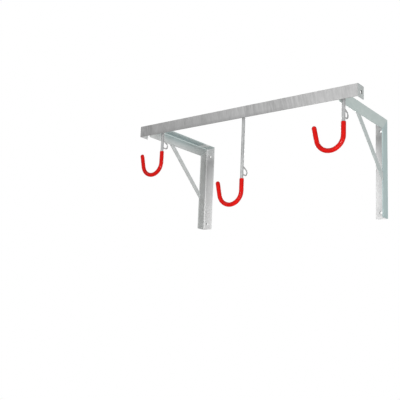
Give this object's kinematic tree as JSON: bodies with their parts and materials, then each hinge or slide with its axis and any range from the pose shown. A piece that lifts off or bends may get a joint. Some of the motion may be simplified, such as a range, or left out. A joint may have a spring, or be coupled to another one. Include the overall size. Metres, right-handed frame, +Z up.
{
  "type": "wall-mounted bike rack",
  "caption": "Steel angle rail on braced wall brackets, with red sleeved J-hooks that swivel in the rail and carry a wire eye for a lock.",
  "frame": {"origin": "middle of the four wall holes, in the plane of the wall", "axes": "+X along the rail to the right as seen from the room, +Y into the wall, +Z up; the room is towards -Y"},
  "size_m": [0.956, 0.405, 0.3869],
  "materials": {
    "galvanised_steel": "hot-dip galvanised, fine drawn streaks across the length, satin",
    "zinc_plated_steel": "bright zinc with a faint bluish-green tint, satin",
    "hook_steel": "plain zinc-plated round bar, satin",
    "red_pvc": "soft dipped PVC, semi-gloss",
    "fastener_steel": "bright zinc-plated fasteners"
  },
  "bodies": {
    "frame": {"rail": "galvanised_steel", "end_plate_left": "galvanised_steel", "end_plate_right": "galvanised_steel", "left_arm": "zinc_plated_steel", "left_wall_leg": "zinc_plated_steel", "left_brace": "zinc_plated_steel", "right_arm": "zinc_plated_steel", "right_wall_leg": "zinc_plated_steel", "right_brace": "zinc_plated_steel", "rail_bolts": "fastener_steel", "rail_bolt_washers": "fastener_steel", "rail_bolt_nuts": "fastener_steel", "left_pivot_washer": "fastener_steel", "middle_pivot_washer": "fastener_steel", "right_pivot_washer": "fastener_steel"},
    "left_hook": {"left_hook_rod": "hook_steel", "left_hook_sleeve": "red_pvc", "left_lock_eye": "hook_steel"},
    "middle_hook": {"middle_hook_rod": "hook_steel", "middle_hook_sleeve": "red_pvc", "middle_lock_eye": "hook_steel"},
    "right_hook": {"right_hook_rod": "hook_steel", "right_hook_sleeve": "red_pvc", "right_lock_eye": "hook_steel"}
  },
  "joints": [
    {"name": "left_hook_swivel", "type": "hinge", "parent": "frame", "child": "left_hook", "pos_m": [-0.356, -0.387, 0.201], "axis": [0, 0, 1], "continuous": true},
    {"name": "middle_hook_swivel", "type": "hinge", "parent": "frame", "child": "middle_hook", "pos_m": [0.036, -0.387, 0.201], "axis": [0, 0, 1], "continuous": true},
    {"name": "right_hook_swivel", "type": "hinge", "parent": "frame", "child": "right_hook", "pos_m": [0.428, -0.387, 0.201], "axis": [0, 0, 1], "continuous": true}
  ]
}
